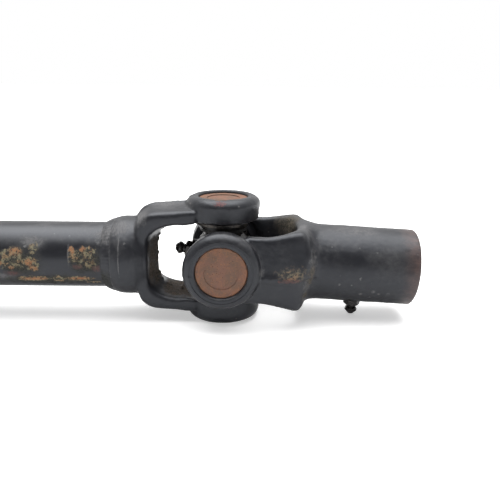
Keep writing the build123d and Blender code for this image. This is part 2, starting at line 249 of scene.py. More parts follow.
class Graph(Wiring):
    """A material, with one short method for each kind of pattern that the finishes use."""

    def __init__(self, name: str) -> None:
        """Starts an empty material of a given name."""
        self.material = bpy.data.materials.new(name)
        self.material.use_nodes = True
        super().__init__(self.material.node_tree)
        self.shader = self.nodes["Principled BSDF"]
        self.place = self.add("ShaderNodeTexCoord", {})["Object"]

    def stretched(self, factors: Triple, shift: Triple = (0.0, 0.0, 0.0)) -> NodeSocket:
        """Shifts the place, in metres, and then scales it along each axis."""
        moved = self.add("ShaderNodeVectorMath", {0: self.place, 1: shift}, operation="ADD")[0]
        return self.add("ShaderNodeVectorMath", {0: moved, 1: factors}, operation="MULTIPLY")[0]

    def distance(self, factors: Triple, shift: Triple) -> NodeSocket:
        """Measures the length of the shifted and scaled place."""
        return self.add("ShaderNodeVectorMath", {0: self.stretched(factors, shift)}, operation="LENGTH")["Value"]

    def lumps(self, grain: float, rough: float = 0.6, detail: float = 4.0, along: Triple = (1, 1, 1)) -> NodeSocket:
        """Makes soft noise whose lumps have a given size.

        Args:
            grain: The lumps' size in millimetres.
            rough: How strong the finer layers are.
            detail: How many finer layers are added.
            along: How much each axis is stretched, above 1 for finer lumps.

        Returns:
            The noise, mostly between 0.3 and 0.7.
        """
        feeds = {"Vector": self.stretched(along), "Scale": 1.0 / (grain * MM), "Detail": detail, "Roughness": rough}
        return self.add("ShaderNodeTexNoise", feeds)["Fac"]

    def cells(self, grain: float) -> NodeSocket:
        """Makes cell noise that rises from 0 at each cell's middle, with cells of a size in millimetres."""
        return self.add("ShaderNodeTexVoronoi", {"Vector": self.place, "Scale": 1.0 / (grain * MM)})["Distance"]

    def tint(self, share: Value, under: Value, over: Value) -> NodeSocket:
        """Lays one colour over another by a share."""
        return self.add("ShaderNodeMix", {0: share, 6: under, 7: over}, data_type="RGBA")[2]

    def spot(self, spot: Spot) -> NodeSocket:
        """Marks one place: 1 inside its ragged edge and 0 outside."""
        start = joint_centre(End.SLIP)
        shift = tuple(-value * MM - origin for value, origin in zip(spot.centre, start))
        distance = self.distance(tuple(1.0 / (value * MM) for value in spot.reach), shift)
        if spot.ragged:
            broken = self.times(self.lumps(spot.grain, 0.55, 3.0), spot.ragged)
            distance = self.plus(distance, self.sums(Sum.TAKE, broken, spot.ragged / 2))
        return self.step(distance, 1.0, 1.0 - spot.soft)

    def spots(self, places: Spots) -> Value:
        """Marks several places at once."""
        return self.highest(*(self.spot(place) for place in places)) if places else 0.0

    def beyond(self, end: End, near: float, far: float) -> NodeSocket:
        """Marks what lies away from a joint's centre: 0 at near and 1 at far, in millimetres."""
        shift = tuple(-value for value in joint_centre(end))
        return self.step(self.distance((1.0 / MM, 1.0 / MM, 1.0 / MM), shift), near, far)

    def from_axis(self, end: End, axis: Axis) -> NodeSocket:
        """Measures the distance in millimetres from the axis of one joint's ears."""
        shift = tuple(-value for value in joint_centre(end))
        return self.distance(tuple(0.0 if part else 1.0 / MM for part in axis.value), shift)

    def relief(self) -> NodeSocket:
        """Reads how far a forging's surface stands out, above 0.5 on its edges and below in its corners."""
        return self.add("ShaderNodeAttribute", {}, attribute_name="relief")["Fac"]

    def facing_up(self) -> NodeSocket:
        """Reads how far a surface faces up, from -1 to 1."""
        normal = self.add("ShaderNodeNewGeometry", {})["Normal"]
        return self.add("ShaderNodeSeparateXYZ", {0: normal})["Z"]

    def bump(self, height: Value, depth: float, under: Value | None = None) -> NodeSocket:
        """Turns a height into a surface normal.

        Args:
            height: The height, from 0 to 1.
            depth: How many millimetres a height of 1 stands for.
            under: A normal that this one is laid over.

        Returns:
            The normal.
        """
        feeds = {"Strength": 1.0, "Distance": depth * MM, "Height": height}
        if under is not None:
            feeds["Normal"] = under
        return self.add("ShaderNodeBump", feeds)["Normal"]

    def finished(self, colour: Value, roughness: Value, normal: Value, others: dict[str, Value]) -> Material:
        """Feeds the shader.

        Args:
            colour: The base colour.
            roughness: The roughness.
            normal: The bumped normal.
            others: What other inputs are fed with, by their names.

        Returns:
            The material.
        """
        feeds = {"Base Color": colour, "Roughness": roughness, "Normal": normal, **others}
        for name, value in feeds.items():
            self.put(value, self.shader.inputs[name])
        return self.material


@dataclass(frozen=True)
class RustColours:
    """The colours of rust that has come through paint."""

    crust: Triple = (0.200, 0.174, 0.108)
    ochre: Triple = (0.285, 0.180, 0.095)
    orange: Triple = (0.280, 0.118, 0.054)
    red: Triple = (0.105, 0.050, 0.045)
    pit: Triple = (0.042, 0.042, 0.034)


@dataclass(frozen=True)
class WornPaint:
    """Satin black paint, dusty and scuffed, with rust through it in places.

    Attributes:
        name: The material's name.
        paint: The paint's colour.
        gloss: The paint's roughness.
        dust: The colour of the dust on it.
        soil: The colour of the brown dirt in its hollows.
        crust: Places where the rust is a mottled pale crust.
        orange: Places where the rust is mostly orange.
        red: Places with a thin red bloom of rust.
        dusty: Places with a film of pale dust.
        haze_and_highlight: Places with a thin haze of dust; on the tube it lies over the lit upper band and partly
            serves as a painted highlight.
        soiled: Places with brown dirt.
        dust_cleared_shade: Places where the dust film is taken off so that the paint shows dark, as painted shade.
        bare: Places where the metal is bare and brown.
        scratches: Dark thin marks.
        chips: Small pale marks where the paint is chipped.
        skin: The depth of the surface's lumps in millimetres.
        forged: Whether the piece carries the relief of a forging.
        stray: How much rust lies about beyond the photographed part, from 0 to 1.
        rust: The colours of its rust.
        streaks: How the dust's grain is drawn out, above 1 along an axis where it is finer.
        ears: The end and the axis of the ears whose turned faces it covers, darkening the ledge ring round each cup
            with painted shade.
        specular: How strongly the paint mirrors.
    """

    name: str
    paint: Triple = (0.0100, 0.0102, 0.0128)
    gloss: float = 0.36
    dust: Triple = (0.115, 0.112, 0.112)
    soil: Triple = (0.090, 0.069, 0.050)
    crust: Spots = ()
    orange: Spots = ()
    red: Spots = ()
    dusty: Spots = ()
    haze_and_highlight: Spots = ()
    soiled: Spots = ()
    dust_cleared_shade: Spots = ()
    bare: Spots = ()
    scratches: Spots = ()
    chips: Spots = ()
    skin: float = 0.05
    forged: bool = True
    stray: float = 0.0
    rust: RustColours = field(default_factory=RustColours)
    streaks: Triple = (1.0, 1.0, 1.0)
    ears: tuple[End, Axis] | None = None
    specular: float = 0.42

    def film(self, graph: Graph, broad: NodeSocket, middle: NodeSocket, fine: NodeSocket) -> Value:
        """Works out how thick the dust lies.

        Args:
            graph: The material.
            broad: Noise in wide lumps.
            middle: Noise in middling lumps.
            fine: Noise in fine grains.

        Returns:
            The dust's share, from 0 to 1.
        """
        film = graph.times(graph.step(broad, 0.38, 0.68), graph.step(middle, 0.35, 0.7))
        film = graph.times(film, graph.level(graph.step(graph.facing_up(), -0.1, 0.9), 0.07, 0.32))
        if self.forged:
            edges = graph.times(graph.step(graph.relief(), 0.56, 0.86), graph.step(fine, 0.3, 0.62))
            corners = graph.times(graph.step(graph.relief(), 0.46, 0.2), graph.step(middle, 0.34, 0.62))
            film = graph.plus(film, graph.times(edges, 0.3), graph.times(corners, 0.45))
        if self.dusty:
            cloud = graph.level(graph.step(graph.lumps(1.7, 0.65, along=self.streaks), 0.36, 0.64), 0.25, 1.0)
            film = graph.plus(film, graph.times(graph.spots(self.dusty), cloud))
        # A thin dust haze; on the tube it also brightens the lit band as a painted highlight
        if self.haze_and_highlight:
            film = graph.plus(film, graph.times(graph.spots(self.haze_and_highlight), graph.level(fine, 0.0, 0.4)))
        # Painted shade: the dust film is taken off where the paint should read dark
        if self.dust_cleared_shade:
            film = graph.times(film, graph.level(graph.spots(self.dust_cleared_shade), 1.0, 0.1))
        return graph.sums(Sum.LOWER, film, 0.85)

    def rusted(self, graph: Graph, middle: NodeSocket, fine: NodeSocket) -> tuple[Value, Value, Value]:
        """Works out where rust has come through and what it looks like.

        Args:
            graph: The material.
            middle: Noise in middling lumps.
            fine: Noise in fine grains.

        Returns:
            The rust's share, its colour, and how far it stands up.
        """
        crust, orange = graph.spots(self.crust), graph.spots(self.orange)
        if self.stray:
            wide = graph.step(graph.lumps(38.0, 0.55, 3.0), 0.66 - 0.1 * self.stray, 0.7 - 0.08 * self.stray)
            stray = graph.times(wide, graph.beyond(End.SLIP, *STRAY_FROM), graph.step(middle, 0.42, 0.54))
            crust = graph.highest(crust, stray)
            orange = graph.highest(orange, graph.times(stray, graph.step(middle, 0.56, 0.62)))
        grain = graph.lumps(1.5, 0.66)
        mottle = graph.step(grain, 0.42, 0.58)
        pale = graph.tint(graph.step(graph.lumps(2.4, detail=3.0), 0.46, 0.6), self.rust.crust, self.rust.ochre)
        colour = graph.tint(mottle, self.rust.pit, pale)
        share = graph.times(crust, graph.level(mottle, 0.42, 0.86))
        patch = graph.times(orange, graph.step(graph.lumps(1.8, 0.7), 0.36, 0.5))
        warm = graph.tint(graph.step(fine, 0.38, 0.62), self.rust.ochre, self.rust.orange)
        warm = graph.tint(graph.step(grain, 0.44, 0.34), warm, self.rust.red)
        colour = graph.tint(patch, colour, warm)
        return graph.highest(share, graph.times(patch, 0.93)), colour, graph.level(grain, 0.3, 1.4)

    def material(self) -> Material:
        """Builds the finish."""
        graph = Graph(self.name)
        broad, middle, fine = graph.lumps(14.0), graph.lumps(3.2), graph.lumps(0.9, 0.65)
        film = self.film(graph, broad, middle, fine)
        colour = graph.tint(film, self.paint, self.dust)
        roughness = graph.level(film, self.gloss, DUSTY)
        specks = graph.times(graph.step(graph.cells(6.5), 0.09, 0.05), graph.step(broad, 0.44, 0.6))
        colour = graph.tint(graph.times(specks, 0.3), colour, CHIPPED)
        height = graph.plus(graph.times(middle, 0.7), graph.times(fine, 0.3))
        if self.soiled:
            soil = graph.times(graph.spots(self.soiled), graph.level(graph.step(middle, 0.3, 0.6), 0.6, 1.0))
            shown = graph.tint(graph.step(fine, 0.4, 0.6), self.soil, tuple(0.4 * part for part in self.soil))
            colour = graph.tint(soil, colour, shown)
            roughness = graph.level(soil, roughness, RUSTY)
        if self.crust or self.orange or self.stray:
            share, rust, rise = self.rusted(graph, middle, fine)
            colour = graph.tint(share, colour, rust)
            roughness = graph.level(share, roughness, RUSTY)
            height = graph.plus(height, graph.times(share, rise))
        if self.red:
            bloom = graph.times(graph.spots(self.red), graph.step(fine, 0.34, 0.6))
            colour = graph.tint(graph.times(bloom, 0.7), colour, self.rust.red)
            roughness = graph.level(bloom, roughness, BLOOMED)
        if self.bare:
            metal = graph.tint(graph.lumps(0.6, 0.6, 3.0, (0.2, 1.0, 1.0)), BARE_DARK, BARE_LIGHT)
            share = graph.times(graph.spots(self.bare), graph.level(graph.step(middle, 0.35, 0.62), 0.5, 0.95))
            colour = graph.tint(share, colour, metal)
        if self.scratches:
            colour = graph.tint(graph.spots(self.scratches), colour, SCRATCHED)
        if self.chips:
            chipped = graph.times(graph.spots(self.chips), graph.step(fine, 0.38, 0.6))
            colour = graph.tint(graph.times(chipped, 0.62), colour, CHIPPED)
        normal = graph.bump(height, self.skin)
        if self.ears:
            radius = graph.from_axis(*self.ears)
            # Painted shade: the ledge ring round each cup is darkened as if shaded in its recess
            ledge = graph.times(graph.step(radius, *LEDGE_INNER), graph.step(radius, *LEDGE_OUTER))
            colour = graph.tint(graph.times(ledge, 0.55), colour, SHADED)
            normal = graph.bump(graph.step(radius, *LEDGE_STEP), LEDGE_DEPTH, normal)
        # The paint's reflections are tinted cool: partly its own sheen, partly painted light colour
        return graph.finished(colour, roughness, normal, {"Specular IOR Level": self.specular, "Specular Tint": COOL_LIGHT_TINT})


@dataclass(frozen=True)
class RustedCup:
    """A bearing cup's steel: brown rust on its face, old grease on the rest of it.

    Attributes:
        name: The material's name.
        end: Which end's joint the cup belongs to.
        brown: The rust's main colour.
        orange: The brighter rust in patches and towards the rim.
        grey: The dull colour where the rust is thin.
        grease: The colour of the greasy walls.
        face_from: How far from the joint's centre the face starts, in millimetres.
        rim_from: Between which distances from there its rim's rust comes in.
        specular: How strongly the rust mirrors.
    """

    name: str
    end: End
    brown: Triple = (0.182, 0.100, 0.074)
    orange: Triple = (0.300, 0.138, 0.072)
    grey: Triple = (0.148, 0.094, 0.071)
    grease: Triple = (0.012, 0.011, 0.010)
    face_from: float = 30.6
    rim_from: Pair = (32.6, 34.0)
    specular: float = 0.22

    def material(self) -> Material:
        """Builds the finish."""
        graph = Graph(self.name)
        broad, middle, fine = graph.lumps(6.0), graph.lumps(2.2, 0.65), graph.lumps(0.8, 0.7)
        colour = graph.tint(graph.step(broad, 0.4, 0.6), self.brown, self.grey)
        ring = graph.times(graph.beyond(self.end, *self.rim_from), graph.step(middle, 0.44, 0.58))
        flecks = graph.times(graph.step(fine, 0.5, 0.62), graph.step(middle, 0.62, 0.42))
        colour = graph.tint(graph.times(flecks, 0.6), colour, self.orange)
        colour = graph.tint(graph.times(ring, 0.55), colour, self.orange)
        pits = graph.step(graph.lumps(0.7, detail=3.0), 0.37, 0.3)
        colour = graph.tint(graph.times(pits, 0.7), colour, PITTED)
        wall = graph.beyond(self.end, self.face_from, self.face_from - 0.8)
        colour = graph.tint(wall, colour, self.grease)
        height = graph.sums(Sum.TAKE, graph.plus(fine, graph.times(middle, 0.8)), pits)
        roughness = graph.level(wall, graph.level(fine, 0.74, 0.95), 0.3)
        return graph.finished(colour, roughness, graph.bump(height, 0.07), {"Specular IOR Level": self.specular})


@dataclass(frozen=True)
class OiledSteel:
    """Steel with a film of oil or grease.

    Attributes:
        name: The material's name.
        dark: The colour where the film is thick.
        light: The colour where it is thin.
        gloss: The roughness of the wet film.
        dull: The roughness where dust has settled in it.
        metal: How metallic the surface is.
        grain: The size of the film's patches in millimetres.
    """

    name: str
    dark: Triple
    light: Triple
    gloss: float
    dull: float
    metal: float
    grain: float = 2.0

    def material(self) -> Material:
        """Builds the finish."""
        graph = Graph(self.name)
        patches = graph.step(graph.lumps(self.grain), 0.4, 0.62)
        normal = graph.bump(graph.lumps(self.grain / 4, detail=3.0), 0.03)
        colour = graph.tint(patches, self.dark, self.light)
        roughness = graph.level(patches, self.gloss, self.dull)
        return graph.finished(colour, roughness, normal, {"Metallic": self.metal})


@dataclass(frozen=True)
class MouldedRubber:
    """Matt black rubber or plastic with a faint moulded grain.

    Attributes:
        name: The material's name.
        colour: Its colour.
        bloom: The paler colour that it weathers to.
    """

    name: str
    colour: Triple
    bloom: Triple

    def material(self) -> Material:
        """Builds the finish."""
        graph = Graph(self.name)
        clouds = graph.step(graph.lumps(3.0, detail=3.0), 0.42, 0.7)
        normal = graph.bump(graph.lumps(0.35, 0.5, 2.0), 0.02)
        colour = graph.tint(clouds, self.colour, self.bloom)
        return graph.finished(colour, graph.level(clouds, 0.6, 0.8), normal, {})


def placed(name: str, data: bpy.types.ID) -> Object:
    """Puts a mesh or a camera in the scene as an object."""
    thing = bpy.data.objects.new(name, data)
    bpy.context.scene.collection.objects.link(thing)
    return thing


def new_piece(name: str, mesh: Mesh, body: str, material: Material) -> Object:
    """Puts a mesh in the scene as a piece of the shaft.

    Args:
        name: The piece's name.
        mesh: Its mesh, in place.
        body: The body that it rides on.
        material: Its finish.

    Returns:
        The piece.
    """
    piece = placed(name, mesh)
    mesh.materials.clear()
    mesh.materials.append(material)
    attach(piece, body)
    log.info("%s: %d faces", name, len(mesh.polygons))
    return piece


def dress(node: str, material: Material) -> None:
    """Gives one of the frame's own pieces its finish."""
    piece = frame["nodes"][node]
    if not piece.material_slots:
        piece.data.materials.append(material)
    for slot in piece.material_slots:
        slot.material = material


def applied(piece: Object) -> Mesh:
    """Turns an object with live modifiers into a plain mesh, and removes the object."""
    graph = bpy.context.evaluated_depsgraph_get()
    mesh = bpy.data.meshes.new_from_object(piece.evaluated_get(graph))
    old = piece.data
    bpy.data.objects.remove(piece)
    if old.users == 0:
        bpy.data.meshes.remove(old)
    return mesh


def remeshed(mesh: Mesh, voxel: float) -> Mesh:
    """Melts a mesh into one skin of even faces, whose size is given in millimetres."""
    piece = placed("remeshed", mesh)
    remesh = piece.modifiers.new("even", "REMESH")
    remesh.mode = "VOXEL"
    remesh.voxel_size = voxel * MM
    remesh.use_smooth_shade = True
    return applied(piece)


def ramped(values: np.ndarray, start: float, full: float) -> np.ndarray:
    """Rises evenly from 0 at start to 1 at full, which may lie below start."""
    return np.clip((values - start) / (full - start), 0.0, 1.0)


@dataclass
class Skin:
    """A closed mesh held as arrays, so that its surface can be smoothed and worked.

    Attributes:
        mesh: The mesh.
        points: The vertices' places.
        edges: Each edge's two vertices.
        normals: The vertices' normals.
    """

    mesh: Mesh
    points: np.ndarray
    edges: np.ndarray
    normals: np.ndarray

    @classmethod
    def of(cls, mesh: Mesh) -> "Skin":
        """Reads a mesh."""
        points = np.empty(len(mesh.vertices) * 3)
        mesh.vertices.foreach_get("co", points)
        edges = np.empty(len(mesh.edges) * 2, dtype=np.int64)
        mesh.edges.foreach_get("vertices", edges)
        normals = np.empty(len(mesh.vertices) * 3)
        mesh.vertex_normals.foreach_get("vector", normals)
        return cls(mesh, points.reshape(-1, 3), edges.reshape(-1, 2), normals.reshape(-1, 3))

    def smoothed(self, values: np.ndarray, rounds: int, share: np.ndarray | float = 0.5) -> np.ndarray:
        """Evens out values over the surface.

        Args:
            values: One row for each vertex.
            rounds: How many times.
            share: How far each round moves a vertex's value towards its neighbours' mean.

        Returns:
            The values as evened out.
        """
        count = len(self.points)
        first, second = self.edges[:, 0], self.edges[:, 1]
        around = np.bincount(first, minlength=count) + np.bincount(second, minlength=count)
        flat = values.reshape(count, -1).copy()
        for _ in range(rounds):
            for column in range(flat.shape[1]):
                now = flat[:, column]
                total = np.bincount(first, now[second], count) + np.bincount(second, now[first], count)
                flat[:, column] = now + share * (total / np.maximum(around, 1) - now)
        return flat.reshape(values.shape)

    def laid(self) -> Mesh:
        """Puts the points back into the mesh."""
        self.mesh.vertices.foreach_set("co", self.points.ravel())
        self.mesh.update()
        return self.mesh


@dataclass
class Forging:
    """A forged yoke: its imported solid, with soft corners, a rough parting line and a forged skin.

    Stretches are given in millimetres, as where they start and where they are full.

    Attributes:
        node: The solid that it replaces.
        body: The body that it rides on.
        finish: Its paint.
        centre: The joint's centre, in metres.
        along: The direction from the joint's centre towards the yoke's neck or barrel.
        across: The direction of its ears' axis.
        voxel: The size of the mesh's faces in millimetres.
        rounding: How many rounds of smoothing the forged skin gets.
        lump: How far the forged skin wanders, in millimetres.
        layers: The layers of that skin, each as the size of its lumps in millimetres and its share.
        turned_radius: The radius within which its ears are machined.
        ears_from: How far from the joint's centre the ears start, in millimetres.
        machined_from: How far along the machined part starts, in millimetres.
        bore_radius: The radius inside which it is machined.
        bore_from: How far along that bore starts, in millimetres.
        machined: How much of the forged skin a machined face keeps.
        parting: Where the plane that its dies met in lies, in millimetres from its axis.
        flash: How far the ragged flash left at that plane stands out in the window, in millimetres.
        plain_flash: How far it stands out elsewhere.
        flash_width: Half of its width, in millimetres.
        flash_grain: The size of its ragged lumps, in millimetres.
        window: How far the window reaches along the yoke and along its ears' axis, in millimetres.
        melted: The stretch along it whose edges are rounded further, in millimetres.
        melting: How many more rounds of smoothing that stretch gets.
        spread: How far the window's edges lie further back than its middle, in millimetres.
        brim: How far an ear draws in below its outer rim, in millimetres.
        brim_inner: Where the drawn-in side begins, from the ear's axis.
        brim_outer: Where it ends, from the ear's axis.
        brim_depth: Where it deepens, from the joint's centre.
        heel: How far the heel's back edge stands further out above the parting plane, in millimetres.
        corner: Where the heel's corners lie, along the yoke and square to it.
        corner_spread: The square of how far a corner's swelling reaches, in square millimetres.
        relief_range: How many millimetres of relief the paint tells apart.
    """

    node: str
    body: str
    finish: WornPaint
    centre: Vector
    along: Vector
    across: Vector
    voxel: float = 0.62
    rounding: int = 7
    lump: float = 0.16
    layers: tuple[Pair, ...] = ((7.5, 0.75), (1.9, 0.35))
    turned_radius: float = 14.6
    ears_from: float = 19.0
    machined_from: float = 99.8
    bore_radius: float = 16.5
    bore_from: float = 39.0
    machined: float = 0.12
    parting: float = 0.0
    flash: float = 0.7
    plain_flash: float = 0.3
    flash_width: float = 0.75
    flash_grain: float = 2.6
    window: Pair = (40.0, 19.6)
    melted: Pair = (0.0, 0.0)
    melting: int = 0
    spread: float = 0.0
    brim: float = 1.0
    brim_inner: Pair = (16.0, 18.0)
    brim_outer: Pair = (21.0, 20.0)
    brim_depth: Pair = (30.0, 22.0)
    heel: float = 0.0
    corner: Pair = (39.5, 17.5)
    corner_spread: float = 14.0
    relief_range: float = 2.4

    def local(self, points: np.ndarray) -> np.ndarray:
        """Measures points along the yoke, along its ears' axis and square to both, in millimetres."""
        side = self.across.cross(self.along)
        frame_axes = np.array([self.along[:], self.across[:], side[:]])
        return (points - np.array(self.centre[:])) @ frame_axes.T / MM

    def rough(self) -> Mesh:
        """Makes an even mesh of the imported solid."""
        mesh = frame["nodes"][self.node].data.copy()
        joined = bmesh.new()
        joined.from_mesh(mesh)
        bmesh.ops.remove_doubles(joined, verts=joined.verts, dist=0.002 * MM)
        joined.to_mesh(mesh)
        joined.free()
        return remeshed(mesh, self.voxel)

    def softness(self, local: np.ndarray) -> np.ndarray:
        """Says how much of the forged skin each point has, from little where it is machined to 1."""
        along, out, side = local[:, 0], np.abs(local[:, 1]), local[:, 2]
        in_ear = (np.hypot(along, side) < self.turned_radius) & (out > self.ears_from)
        in_bore = (np.hypot(local[:, 1], side) < self.bore_radius) & (along > self.bore_from)
        return np.where(in_ear | in_bore | (along > self.machined_from), self.machined, 1.0)

    def wander(self, points: np.ndarray, local: np.ndarray) -> np.ndarray:
        """Works out how far the forged skin stands off the plain shape.

        Args:
            points: Places in metres.
            local: The same places in the yoke's own frame.

        Returns:
            A height in millimetres for each point.
        """
        height = np.zeros(len(points))
        for size, share in self.layers:
            height += share * np.array([noise.noise(Vector(place) / (size * MM)) for place in points])
        from_ear_axis, out = np.hypot(local[:, 0], local[:, 2]), np.abs(local[:, 1])
        on_ear = ramped(from_ear_axis, *self.brim_inner) * ramped(from_ear_axis, *self.brim_outer)
        height = self.lump * height - self.brim * on_ear * ramped(out, *self.brim_depth)
        ragged = np.array([noise.noise(Vector((x, y, 0.0)) / self.flash_grain) for x, y in local[:, :2]])
        ridge = np.exp(-(((local[:, 2] - self.parting) / self.flash_width) ** 2))
        in_window = (local[:, 0] < self.window[0]) & (out < self.window[1])
        flash = np.where(in_window, self.flash, self.plain_flash)
        return height + flash * ridge * np.clip(0.25 + 1.6 * ragged, -0.4, 1.0)

    def spread_window(self, local: np.ndarray) -> np.ndarray:
        """Says how far the window's end moves back towards its two edges, as its dies' draft leaves it."""
        along, high, side = local[:, 0], np.abs(local[:, 1]), np.abs(local[:, 2] - self.parting)
        moved = ramped(along, 26.0, 34.0) * ramped(along, 44.5, 37.5) * ramped(high, 23.0, 17.0)
        moved = self.spread * moved * ramped(side, 1.5, 13.5)
        return moved[:, None] * np.array(self.along[:]) * MM

    def swell_heel(self, local: np.ndarray) -> np.ndarray:
        """Says how far the heel's back edge and corners move outwards, where the die reached further."""
        along, outer = local[:, 0], ramped(np.abs(local[:, 1]), 12.0, 18.0)
        lower = math.copysign(1.0, self.parting)
        above = lower * (self.parting - local[:, 2])
        back = ramped(along, 34.0, 41.0) * ramped(along, 56.0, 44.0) * ramped(above, -0.6, 1.0)
        back_along, square = np.array(self.along[:]), np.array(self.across.cross(self.along)[:])
        moved = (self.heel * back * ramped(above, 22.0, 14.0) * outer)[:, None] * back_along
        for side, drop in ((lower, 0.8), (-lower, 0.1)):
            apart = (along - self.corner[0]) ** 2 + (side * local[:, 2] - self.corner[1]) ** 2
            swelling = (0.6 * self.heel * outer * np.exp(-apart / self.corner_spread))[:, None]
            moved = moved + swelling * (0.6 * back_along + drop * side * square)
        return moved * MM

    def build(self) -> Object:
        """Makes the forging and lets it stand for its solid."""
        skin = Skin.of(self.rough())
        local = self.local(skin.points)
        soft = self.softness(local)
        share = skin.smoothed(soft, 2) * 0.5
        skin.points = skin.smoothed(skin.points, self.rounding, share)
        if self.melting:
            along, (low, high) = local[:, 0], self.melted
            near = ramped(along, low, low + 3.0) * ramped(along, high, high - 3.0)
            near *= np.maximum(ramped(np.abs(local[:, 2]), 9.0, 13.0), ramped(along, 42.0, 46.0))
            skin.points = skin.smoothed(skin.points, self.melting, near * share)
        if self.spread:
            skin.points += self.spread_window(local)
        if self.heel:
            skin.points += self.swell_heel(local)
        flat = skin.smoothed(skin.points, 40)
        relief = np.einsum("ij,ij->i", skin.points - flat, skin.normals) / MM
        relief = skin.smoothed(relief, 2)
        skin.points += skin.normals * (self.wander(skin.points, local) * soft * MM)[:, None]
        mesh = skin.laid()
        layer = mesh.attributes.new("relief", "FLOAT", "POINT")
        layer.data.foreach_set("value", np.clip(0.5 + relief / self.relief_range, 0.0, 1.0))
        piece = new_piece(f"{self.node}_forging", mesh, self.body, self.finish.material())
        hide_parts(self.node)
        return piece


# The kinds of input that a node tree offers for a value's type
SORTS = {float: "NodeSocketFloat", int: "NodeSocketInt", Material: "NodeSocketMaterial"}


@dataclass
class WeldBead:
    """The bead that joins the tube to a weld yoke: overlapping ripples laid round the tube.

    Attributes:
        end: Which end of the shaft it is at.
        seed: The seed of its ripples' unevenness.
        tube_radius: The tube's radius in millimetres.
        neck_radius: The radius of the neck's small end in millimetres.
        ripples: How many ripples go round.
        ripple_length: Half of a ripple's length round the tube, in millimetres.
        uneven: The largest size of a ripple, where the smallest is 1.
        proud: How far the bead stands above the straight line between tube and neck, in millimetres.
        thick: Half of a ripple's thickness, in millimetres.
        lap: How far it laps over the neck, in millimetres.
        voxel: The size of the melted bead's faces in millimetres.
        rounding: How many rounds of smoothing it gets.
    """

    end: End
    seed: int
    tube_radius: float = 17.45
    neck_radius: float = 19.7
    ripples: int = 62
    ripple_length: float = 1.75
    uneven: float = 1.14
    proud: float = 0.3
    thick: float = 1.15
    lap: float = 1.3
    voxel: float = 0.35
    rounding: int = 3

    def tree(self, wanted: dict[str, float | int | Material]) -> NodeTree:
        """Builds the node tree that lays ripples round a circle.

        Args:
            wanted: The values that its inputs will be set to, by the inputs' names.

        Returns:
            The tree.
        """
        tree = bpy.data.node_groups.new(f"{self.end.value}_bead_ripples", "GeometryNodeTree")
        for name, value in wanted.items():
            tree.interface.new_socket(name=name, in_out="INPUT", socket_type=SORTS[type(value)])
        tree.interface.new_socket(name="Bead", in_out="OUTPUT", socket_type="NodeSocketGeometry")
        wiring = Wiring(tree)
        given = wiring.add("NodeGroupInput", {})
        ring = wiring.add("GeometryNodeMeshCircle", {"Radius": given["Ring radius"], "Vertices": given["Ripples"]})
        ball = wiring.add("GeometryNodeMeshIcoSphere", {"Radius": 1.0, "Subdivisions": 3})
        place = wiring.add("GeometryNodeInputPosition", {})[0]
        outward = wiring.add("FunctionNodeAlignRotationToVector", {"Vector": place}, axis="X", pivot_axis="Z")[0]
        between = {"Seed": self.seed, 2: 1.0, 3: given["Unevenness"]}
        uneven = wiring.add("FunctionNodeRandomValue", between, data_type="FLOAT")[1]
        sizes = {"X": given["Ripple height"], "Y": given["Ripple length"], "Z": given["Ripple width"]}
        sizes = {0: wiring.add("ShaderNodeCombineXYZ", sizes)[0], "Scale": uneven}
        varied = wiring.add("ShaderNodeVectorMath", sizes, operation="SCALE")[0]
        laid = {"Points": ring["Mesh"], "Instance": ball["Mesh"], "Rotation": outward, "Scale": varied}
        laid = wiring.add("GeometryNodeInstanceOnPoints", laid)[0]
        real = wiring.add("GeometryNodeRealizeInstances", {0: laid})[0]
        finish = wiring.add("GeometryNodeSetMaterial", {"Geometry": real, "Material": given["Finish"]})[0]
        wiring.add("NodeGroupOutput", {"Bead": finish})
        return tree

    def build(self, material: Material) -> Object:
        """Makes the bead in a given paint and lets it stand for its solid."""
        low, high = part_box(f"{self.end.value}_weld_bead")
        width = high[0] - low[0]
        towards_neck = 1 if self.end is End.SLIP else -1
        middle_x = (low[0] + high[0]) / 2 + towards_neck * self.lap / 2 * MM
        wanted = {
            "Ring radius": ((self.tube_radius + self.neck_radius) / 2 + self.proud - self.thick) * MM,
            "Ripples": self.ripples,
            "Ripple width": width / 2 + self.lap / 2 * MM,
            "Ripple length": self.ripple_length * MM,
            "Ripple height": self.thick * MM,
            "Unevenness": self.uneven,
            "Finish": material,
        }
        piece = placed("bead_maker", bpy.data.meshes.new("bead_maker"))
        maker = piece.modifiers.new("ripples", "NODES")
        maker.node_group = self.tree(wanted)
        for item in maker.node_group.interface.items_tree:
            if item.in_out == "INPUT":
                maker[item.identifier] = wanted[item.name]
        ripples = Skin.of(applied(piece))
        across, up, along = ripples.points.T
        radius = np.hypot(across, up)
        lean = (self.neck_radius - self.tube_radius) * MM / width * towards_neck
        wider = (radius + along * lean) / radius
        ripples.points = np.stack([along + middle_x, across * wider, up * wider], axis=1)
        skin = Skin.of(remeshed(ripples.laid(), self.voxel))
        skin.points = skin.smoothed(skin.points, self.rounding)
        reach = sorted((middle_x - towards_neck * (width + self.lap * MM) / 2, middle_x + towards_neck * width))
        skin.points[:, 0] = np.clip(skin.points[:, 0], *reach)
        piece = new_piece(f"{self.end.value}_bead_ripples", skin.laid(), "tube_shaft", material)
        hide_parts(f"{self.end.value}_weld_bead")
        return piece


